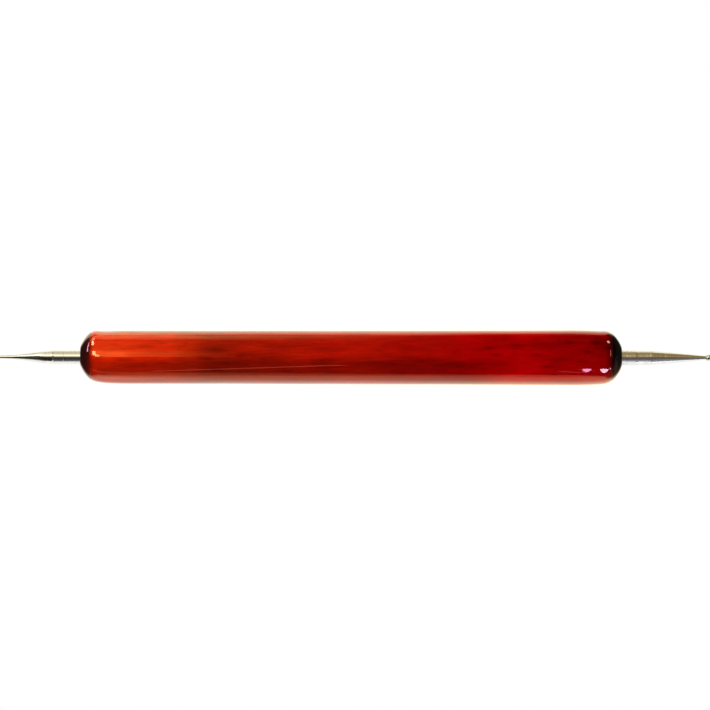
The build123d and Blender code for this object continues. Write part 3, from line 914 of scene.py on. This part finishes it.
def glow(height, strength):
    def build(n):
        xyz = n.add("ShaderNodeSeparateXYZ")
        n.link(n.place((1, 1, 1)), xyz.inputs[0])
        up = n.span(xyz.outputs["Z"], 0.0, height, 1.0, 0.0)
        end = n.span(xyz.outputs["X"], -80.0, 28.0, 1.0, 0.0)
        return tinted(n, n.math("MULTIPLY", up, end), (strength, 0.75 * strength, 0.28 * strength))
    return build


lit_face("ceiling_left", (-250, 230, 350), (250, 0, 0), (0, 330, 0), ceiling)
lit_face("wall_back", (-100, 450, 140), (-400, 0, 0), (0, 0, 142), glow(280.0, 2.4))
lit_face("wall_front", (-100, -640, 62), (400, 0, 0), (0, 0, 65), glow(120.0, 0.9))

# the tent that the bare metal mirrors: white over the fine end, dim and warm over the broad one
TENT = 900.0
bm = bmesh.new()
rows = []
for i in range(65):
    a = math.radians(-96 + 192 * i / 64)
    rows.append([bm.verts.new(Vector((x, -math.sin(a) * TENT, math.cos(a) * TENT)) * MM) for x in (-1400, -450, 450, 1400)])
for a, b in zip(rows, rows[1:]):
    for j in range(3):
        bm.faces.new((a[j], a[j + 1], b[j + 1], b[j]))
mesh = bpy.data.meshes.new("tent")
bm.to_mesh(mesh)
bm.free()
tent = bpy.data.objects.new("tent", mesh)
scene.collection.objects.link(tent)
n = Nodes("tent")
xyz = n.add("ShaderNodeSeparateXYZ")
n.link(n.place((1, 1, 1)), xyz.inputs[0])
theta = n.math("ARCTAN2", n.math("MULTIPLY", xyz.outputs["Y"], -1.0), xyz.outputs["Z"])
turn_ = n.span(theta, math.radians(-100), math.radians(100), kind="LINEAR")


def at(deg):
    return (deg + 100) / 200


left = n.ramp(turn_, [(at(-95), (0.90, 0.88, 0.72)), (at(-78), (0.80, 0.76, 0.58)), (at(-58), (0.72, 0.67, 0.49)),
                      (at(-40), (0.76, 0.71, 0.52)), (at(-28), (1.15, 1.09, 0.84)), (at(-14), (1.75, 1.66, 1.28)),
                      (at(0), (1.35, 1.27, 0.98)), (at(10), (0.24, 0.21, 0.14)), (at(22), (0.06, 0.05, 0.03)),
                      (at(38), (0.015, 0.012, 0.008)), (at(60), (0.004, 0.003, 0.002)), (at(74), (0.006, 0.005, 0.005)),
                      (at(88), (0.20, 0.19, 0.19)), (at(95), (0.8, 0.8, 0.8))])
outer = n.ramp(turn_, [(at(-95), (1.3, 1.3, 1.22)), (at(-30), (1.45, 1.43, 1.28)), (at(-5), (1.65, 1.60, 1.32)),
                       (at(6), (0.55, 0.50, 0.38)), (at(18), (0.06, 0.05, 0.03)), (at(50), (0.02, 0.016, 0.010)),
                       (at(72), (0.15, 0.14, 0.12)), (at(86), (0.9, 0.9, 0.9)), (at(95), (1.2, 1.2, 1.2))])
right = n.ramp(turn_, [(at(-95), (0.85, 0.78, 0.52)), (at(-80), (0.45, 0.34, 0.15)), (at(-60), (0.29, 0.21, 0.080)),
                       (at(-38), (0.32, 0.205, 0.068)), (at(-20), (0.42, 0.28, 0.105)), (at(-4), (0.31, 0.21, 0.100)),
                       (at(10), (0.17, 0.105, 0.040)), (at(24), (0.140, 0.12, 0.105)), (at(42), (0.16, 0.15, 0.14)),
                       (at(55), (0.26, 0.27, 0.34)), (at(66), (0.62, 0.67, 0.80)), (at(78), (1.0, 1.05, 1.15)),
                       (at(95), (1.1, 1.1, 1.15))])
both = n.mix(n.span(xyz.outputs["X"], -140.0, 60.0), left, right)
both = n.mix(n.span(xyz.outputs["X"], -230.0, -330.0), both, outer)
dim = n.math("MULTIPLY", n.span(xyz.outputs["X"], 170.0, 330.0, 0.0, 0.36), n.span(theta, 1.0, 1.3, 1.0, 0.0))
both = n.mix(dim, both, (0.15, 0.12, 0.085))
emitter(n, both)
mesh.materials.append(n.mat)
hidden(tent, True, METAL)

for name, x, colour in (("tent_end_fine", -1400.0, (1.35, 1.30, 1.08)), ("tent_end_broad", 1400.0, (0.35, 0.30, 0.22))):
    panel(name, [Vector((x, -900, -5)), Vector((x, 900, -5)), Vector((x, 900, 900)), Vector((x, -900, 900))],
          colour, METAL)

# the white sheet as the metal sees it, shaded close under the broad rod
for name, x0, x1, y0, y1, radiance in (
        ("sheet_fine_back", -260.0, -56.9, 0.0, 250.0, 1.20),
        ("sheet_fine_front", -260.0, -56.9, -250.0, 0.0, 1.08),
        ("sheet_broad_back", 56.5, 260.0, -1.0, 250.0, 1.10),
        ("sheet_broad_near", 56.5, 260.0, -2.7, -1.0, 0.92),
        ("sheet_broad_mid", 56.5, 260.0, -18.0, -2.7, 1.06),
        ("sheet_broad_front", 56.5, 260.0, -250.0, -18.0, 1.40)):
    data = bpy.data.lights.new(name, "AREA")
    data.shape = "RECTANGLE"
    data.size, data.size_y = (x1 - x0) * MM, (y1 - y0) * MM
    data.energy = radiance * math.pi * (x1 - x0) * (y1 - y0) * MM * MM
    data.color = {"sheet_fine_back": (1.0, 0.985, 0.86), "sheet_broad_back": (1.0, 0.95, 0.78)}.get(name, (1.0, 1.0, 1.0))
    obj = bpy.data.objects.new(name, data)
    scene.collection.objects.link(obj)
    obj.matrix_world = (Matrix.Translation(Vector(((x0 + x1) / 2 * MM, (y0 + y1) / 2 * MM, REST + 0.00002)))
                        @ Matrix.Rotation(math.pi, 4, "X"))
    hidden(obj, True, METAL)

# ---------------------------------------------------------------- picture
scene.view_settings.view_transform = "Standard"
scene.view_settings.look = "None"
scene.view_settings.exposure = 0.0
scene.view_settings.gamma = 1.0
